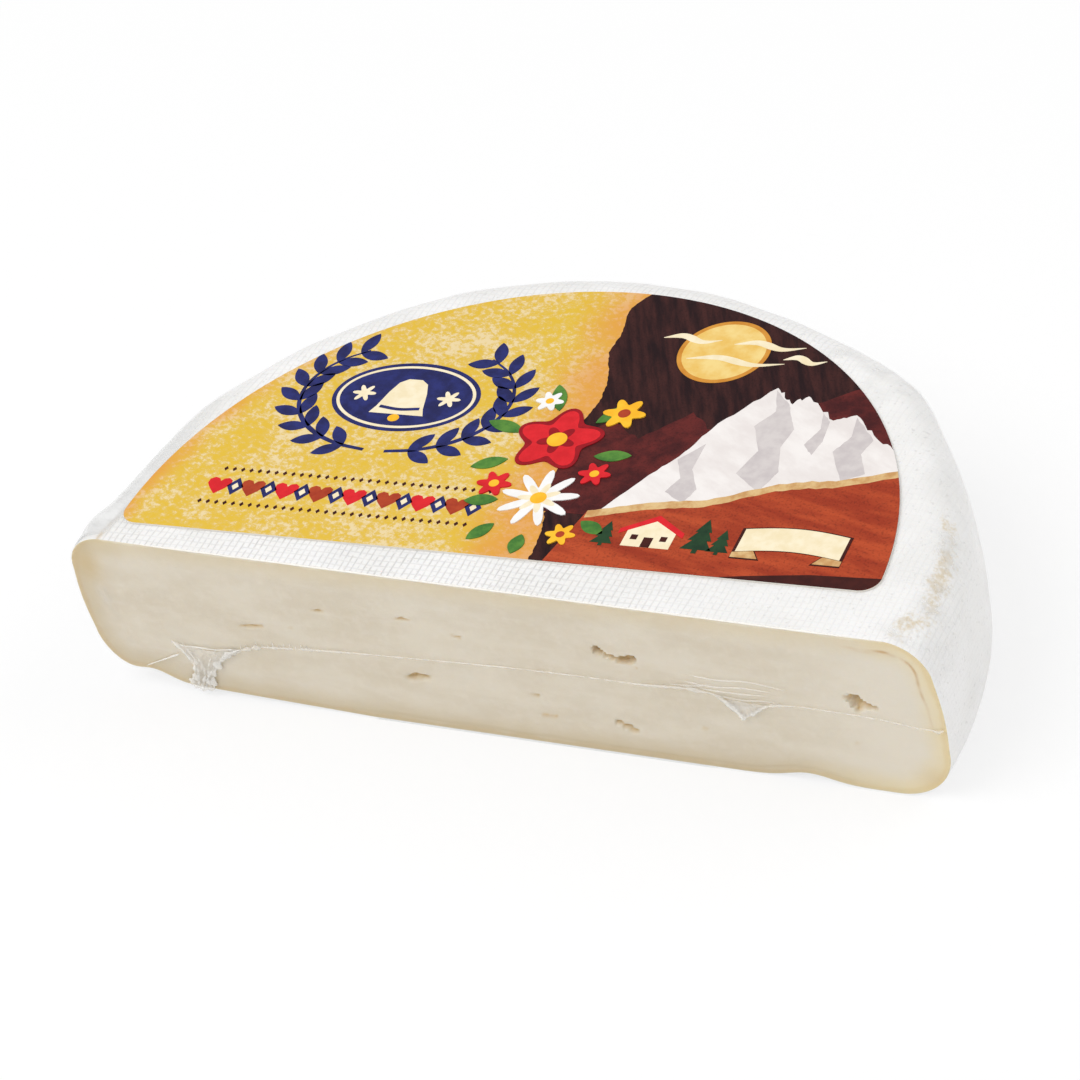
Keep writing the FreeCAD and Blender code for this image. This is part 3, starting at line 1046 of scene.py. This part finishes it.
INKS = {
    "night": ((34, 16, 20), (66, 34, 32), 2.2, ((0.25, 1.6, 1), 62), 0.4),
    "far_hills": ((100, 38, 36), (68, 26, 28), 3, None, 0.3),
    "snow": ((240, 235, 232), (228, 221, 218), 5, ((0.6, 1.4, 1), 30)),
    "shade": ((212, 205, 203), (198, 190, 190), 2.5),
    "bank": ((186, 78, 44), (152, 54, 32), 4, ((0.3, 1.5, 1), 12), 0.3),
    "crest": ((222, 190, 136), (196, 148, 94)),
    "amber": ((214, 150, 62), (200, 132, 48)),
    "sun": ((240, 212, 138), (230, 186, 92), 4),
    "navy": ((36, 38, 84), (44, 50, 112)),
    "red": ((222, 40, 48), (206, 34, 42)),
    "crimson": ((160, 24, 34), (140, 20, 30)),
    "rust": ((178, 70, 40), (160, 56, 34)),
    "gold": ((250, 194, 52), (242, 178, 40)),
    "cream": ((246, 234, 204), (238, 222, 184)),
    "ink_brown": ((72, 30, 26), (58, 24, 22)),
    "white": ((246, 245, 244), (238, 236, 234)),
    "green": ((92, 140, 60), (62, 112, 50)),
    "fir": ((40, 70, 44), (30, 54, 38)),
}


def landscape(draw):
    """The dark field on the right: hills, a snowy range, a low sun and a rust-brown slope."""
    draw("night", 1, torn_edge() + [(70, -1), (70, 59)])
    hills = ((3.5, 26), (8, 30), (13, 26.5), (19, 33), (24, 29), (44, 42),
             (48, 38), (60, 36))
    draw("far_hills", 2, ridge_line(hills, 0.8, 6, 2) + [(60, 10), (3.9, 10)])
    draw("amber", 3, oval(18.6, 46.4, 6.9, 6.9))
    draw("sun", 4, oval(18.6, 46.4, 6.2, 6.2))
    clouds = ((13.5, 44.4, 15), (19.5, 48.2, 11), (28, 45.6, 6.6), (8.4, 48.6, 9))
    for u, v, length in clouds:
        line = ((u, v), (u + length * 0.3, v + 0.7), (u + length * 0.7, v - 0.4),
                (u + length, v + 0.3))
        draw("cream", 5, line, (0.1, 1, 1.3, 0.7, 0.1))
    peaks = ((13.2, 11), (17.5, 19), (20.5, 23.5), (23.5, 31), (29.5, 39.5), (32.5, 36.5),
             (35, 38), (40, 33.5), (43, 35), (47.5, 30.5), (52, 27.5), (60, 19))
    draw("snow", 6, ridge_line(peaks, 0.9, 7, 1) + [(60, 5), (13.2, 8)])
    faces = (
        ((29.5, 39), (31, 34.5), (29, 31), (31.5, 26), (30, 21), (34.5, 17.5),
         (36, 22), (34.4, 27), (35, 31), (33.4, 34), (32.4, 36.2)),
        ((43.2, 34.5), (43.8, 30.5), (42.2, 27), (45.5, 21), (48.4, 23), (46.4, 27),
         (47.2, 30)),
        ((20.5, 22.8), (22.4, 19), (21.2, 16), (24.6, 14), (25.6, 17), (23.4, 21),
         (23.4, 26.5)),
        ((38, 35), (38.8, 31.6), (37.6, 28), (39.4, 26), (40, 29), (39.6, 33.2)),
    )
    for face in faces:
        draw("shade", 7, ridge_line(face + face[:1], 0.5, 5, 5)[:-1])
    slope = ((11.6, 10.8), (20, 13.5), (28, 15), (37, 19.5), (46, 21.5), (60, 27))
    slope = ridge_line(slope, 0.35, 8, 3)
    draw("bank", 8, slope + [(60, -2), (8.6, -2)])
    draw("crest", 9, slope + [(u, v - 1.5) for u, v in slope[::-1]])
    draw("ink_brown", 10, [(30, -1), (40, 0.8), (48, 2), (60, 2.6), (60, -1)])


def chalet(draw, u, v):
    """A small log house beside fir trees."""
    wall = [(-3.6, -2.2), (3.6, -2.2), (3.6, 1), (0, 3.2), (-3.6, 1)]
    roof = [(-4.8, 0.2), (0, 3.2), (4.8, 0.2), (4.8, 1.2), (0, 4.4), (-4.8, 1.2)]
    draw("cream", 11, placed(wall, u, v))
    draw("red", 12, placed(roof, u, v))
    draw("ink_brown", 12, placed([(-0.7, -2.2), (0.7, -2.2), (0.7, -0.2), (-0.7, -0.2)], u, v))
    for side in (-2.2, 2.2):
        pane = [(-0.5, -0.5), (0.5, -0.5), (0.5, 0.5), (-0.5, 0.5)]
        draw("ink_brown", 12, placed(pane, u + side, v - 0.3))
    for place, height, size in ((-6.6, -0.2, 0.8), (7.4, 0.8, 1.1), (10.6, 0, 0.8)):
        draw("fir", 11, placed(FIR, u + place, v + height, size))


def blank_ribbon(draw, u, v):
    """A pale ribbon with folded ends and nothing on it."""
    tail = [(-3.4, -2.6), (0.6, -2.6), (0.6, 1.8), (-3.4, 1.8), (-1.9, -0.4)]
    for side in (-1, 1):
        shape = [(side * x, y) for x, y in tail]
        draw("ink_brown", 11, placed(shape, u + side * 7.4, v - 0.9, 1.1))
        draw("crest", 12, placed(shape, u + side * 7.4, v - 0.9))
    band = [(x, 2.2 + 0.9 * cos(x / 5)) for x in np.linspace(-7.6, 7.6, 16)]
    band += [(x, -2.4 + 0.9 * cos(x / 5)) for x in np.linspace(7.6, -7.6, 16)]
    draw("ink_brown", 13, placed(band, u, v, 1.06))
    draw("cream", 14, placed(band, u, v))


def bouquet(draw):
    """Alpine flowers on the torn edge: a red rose, a white star flower and small ones."""
    leaves = ((-4.5, 26, 6.4, 165), (-1, 31, 6, 112), (5.5, 29, 6, 48),
              (-4.5, 20, 5.4, 205), (8, 22, 5.6, 8), (-2.5, 11.5, 5, 190),
              (11.5, 8.5, 4.6, -28), (-1, 6.5, 4.6, 232), (4, 4.8, 4, 268))
    for u, v, length, turn in leaves:
        draw("green", 11, leaf(u, v, length, 2.3, turn))
    draw("crimson", 12, petals(1.2, 24.8, 4.7, 6.9, 5, 14, 0.3))
    draw("red", 13, petals(1.2, 24.8, 3.6, 6.3, 5, 14, 0.3))
    draw("crimson", 14, petals(1.2, 24.8, 1.5, 3, 5, 14, 0.95))
    draw("gold", 15, oval(1.2, 24.8, 1.5, 1.5, 32))
    draw("white", 13, petals(3.4, 12.4, 2.2, 6, 9, 10, 0.2))
    draw("cream", 14, petals(3.4, 12.4, 1.2, 3.2, 7, 10, 0.5))
    draw("gold", 15, oval(3.4, 12.4, 1.2, 1.2, 32))
    small = ((9, 31.4, 3.3, "gold", "rust"), (-4.4, 14.6, 2.7, "red", "gold"),
             (9.6, 18.3, 2.5, "red", "gold"), (-3.2, 32.8, 2.2, "white", "gold"),
             (9.6, 5.4, 2.3, "gold", "rust"))
    for u, v, size, colour, heart in small:
        draw(colour, 16, petals(u, v, size * 0.55, size, 6, 10))
        draw(heart, 17, oval(u, v, size * 0.28, size * 0.28, 24))


def bell_medallion(draw, u, v):
    """A navy oval with a pale cow bell, in a leafy wreath."""
    draw("navy", 1, oval(u, v, 11.6, 7.6))
    draw("cream", 2, oval(u, v, 10.9, 6.9))
    draw("navy", 3, oval(u, v, 10.4, 6.4))
    draw("cream", 4, placed(BELL, u, v, 1.5))
    draw("gold", 4, oval(u, v - 4.7, 0.9, 0.8, 24))
    draw("navy", 5, ((u - 3.2, v - 2.4), (u, v - 2.8), (u + 3.2, v - 2.4)), (0.6, 0.6))
    for side in (-1, 1):
        draw("cream", 4, petals(u + side * 6.8, v + 0.2, 0.8, 1.9, 6, 8))

        def wreath(t):
            return u + side * 16.6 * sin(t), v - 12 * cos(t)

        draw("navy", 1, [wreath(t) for t in np.linspace(0.1, 2.5, 9)], (0.6, 0.8, 0.6, 0.3))
        for index in range(9):
            t = 0.32 + 0.26 * index
            heading = degrees(atan2(12 * sin(t), side * 16.6 * cos(t)))
            draw("navy", 1, leaf(*wreath(t), 4.8, 2.1, heading - 42))
            draw("navy", 2, leaf(*wreath(t), 4.8, 2.1, heading + 42))


def stitched_band(draw):
    """A cross-stitch band of hearts and diamonds along the straight edge."""
    for index in range(8):
        u = -46 + 5.4 * index
        draw("rust" if index % 2 else "red", 1, placed(HEART, u, 9.4, 1.9))
        draw("navy", 1, placed(DIAMOND, u + 2.7, 9.4, 1.9))
        draw("cream", 2, placed(DIAMOND, u + 2.7, 9.4, 0.8))
    for index in range(32):
        draw("ink_brown", 1, placed(DIAMOND, -47.4 + 1.36 * index, 5.8, 0.5))
        draw("ink_brown", 1, placed(DIAMOND, -46.4 + 1.36 * index, 13, 0.5))


def make_print_piece(name, parts, material, edge=None):
    """Flat print on the label, with a map of its places on the label.

    edge is the material of all faces but the one on top, for a single plate."""
    points, faces = join_parts(parts)
    c, s = cos(LABEL_TURN), sin(LABEL_TURN)
    places = []
    for x, y, _ in points:
        dx, dy = x - LABEL_MIDDLE[0], y - LABEL_MIDDLE[1]
        places.append((dx * c + dy * s, dy * c - dx * s))
    picks = None if edge is None else [0] + [1] * (len(faces) - 1)
    materials = [material] if edge is None else [material, edge]
    mesh_piece(name, points, faces, materials, "label", smooth=False,
               maps={"label": places}, picks=picks)


def make_label():
    """The paper half disc, and its print in one piece for each ink."""
    border = label_outline()
    paper = ink_material("paper_edge", (236, 232, 224), (230, 225, 216))
    sheet = plate(border, LABEL_FOOT, LABEL_TOP)
    make_print_piece("label_sheet", [sheet], parchment_material(), paper)
    drawn = {name: [] for name in INKS}

    def draw(colour, layer, shape, widths=None):
        """A raised shape, or a pen stroke where widths are given; higher layers lie on top."""
        low, high = LABEL_TOP - INK_DEPTH, LABEL_TOP + INK_STEP * layer
        if widths:
            drawn[colour].append(pen(shape, widths, low, high))
        else:
            drawn[colour].append(plate(clip_to_label(shape, border), low, high))

    landscape(draw)
    chalet(draw, 22.6, 6.6)
    blank_ribbon(draw, 43.4, 7.6)
    bouquet(draw)
    bell_medallion(draw, -25.6, 31.4)
    stitched_band(draw)
    for name, parts in drawn.items():
        make_print_piece("print_" + name, parts, ink_material(name, *INKS[name]))


bpy.context.scene.view_settings.view_transform = "Standard"
make_camera()
make_stage()
make_cheese()
make_film()
make_seam()
make_creases()
make_gather()
make_label()
